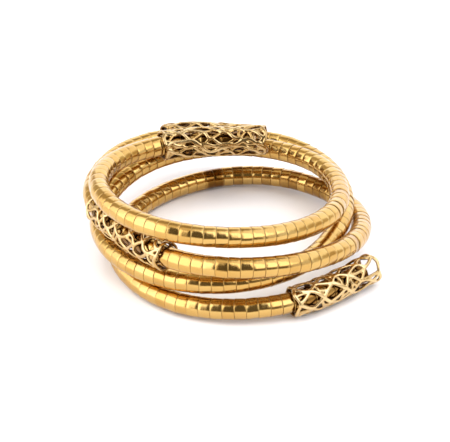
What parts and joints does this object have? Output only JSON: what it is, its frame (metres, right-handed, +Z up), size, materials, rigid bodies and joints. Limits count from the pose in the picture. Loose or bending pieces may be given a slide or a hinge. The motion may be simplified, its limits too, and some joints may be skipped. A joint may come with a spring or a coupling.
{
  "type": "coiled snake bracelet with openwork sleeves",
  "caption": "Long flexible snake tube of short gilt rings, coiled loosely as a bracelet, with pierced wire-net sleeves on its ends and along it.",
  "frame": {"origin": "on the coil's own axis, at the height of the table that it lies on", "axes": "+Z up along the coil's axis, -Y towards the front of the picture, +X to its right"},
  "size_m": [0.0824, 0.086, 0.0282],
  "materials": {
    "polished_rings": "polished yellow gilt brass rings with thin dark seams",
    "cast_net": "satin pale gilt cast wire with dark patina in the recesses"
  },
  "bodies": {
    "root": {"snake_tube": "polished_rings", "end_sleeve_upper": "cast_net", "back_sleeve": "cast_net", "left_sleeve": "cast_net", "end_sleeve_lower": "cast_net"}
  },
  "joints": []
}
